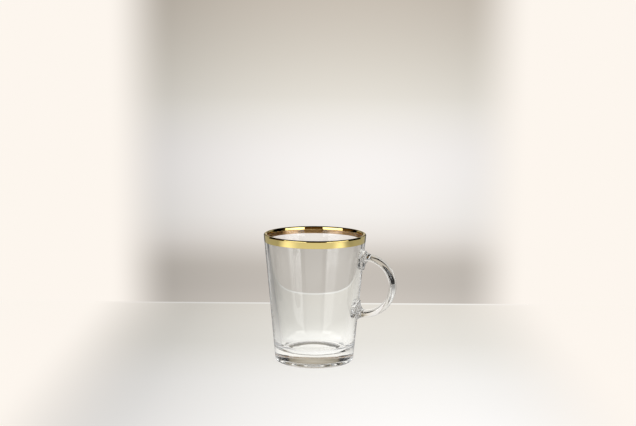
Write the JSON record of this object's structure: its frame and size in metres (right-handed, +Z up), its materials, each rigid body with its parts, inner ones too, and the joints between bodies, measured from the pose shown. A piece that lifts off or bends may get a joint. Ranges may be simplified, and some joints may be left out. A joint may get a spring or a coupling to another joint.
{
  "type": "tea glass with handle",
  "caption": "Clear glass tea mug: straight tapered wall, thick base with a shallow hollow underneath, flattened oval handle fused at two round pads, and a gold band over the lip",
  "frame": {"origin": "centre of the mug's box from above, on the surface that it stands on; the tumbler's axis is vertical at x = -12.06 mm", "axes": "+X from the tumbler to its handle, +Y across the handle's loop, +Z up"},
  "size_m": [0.1041, 0.0798, 0.1],
  "materials": {
    "clear_glass": "clear, polished, slightly wavy",
    "handle_glass": "clear, fire polished",
    "bright_gold": "bright fired gold"
  },
  "bodies": {
    "root": {"tumbler": "clear_glass", "handle": "handle_glass", "gold_rim": "bright_gold"}
  },
  "joints": []
}
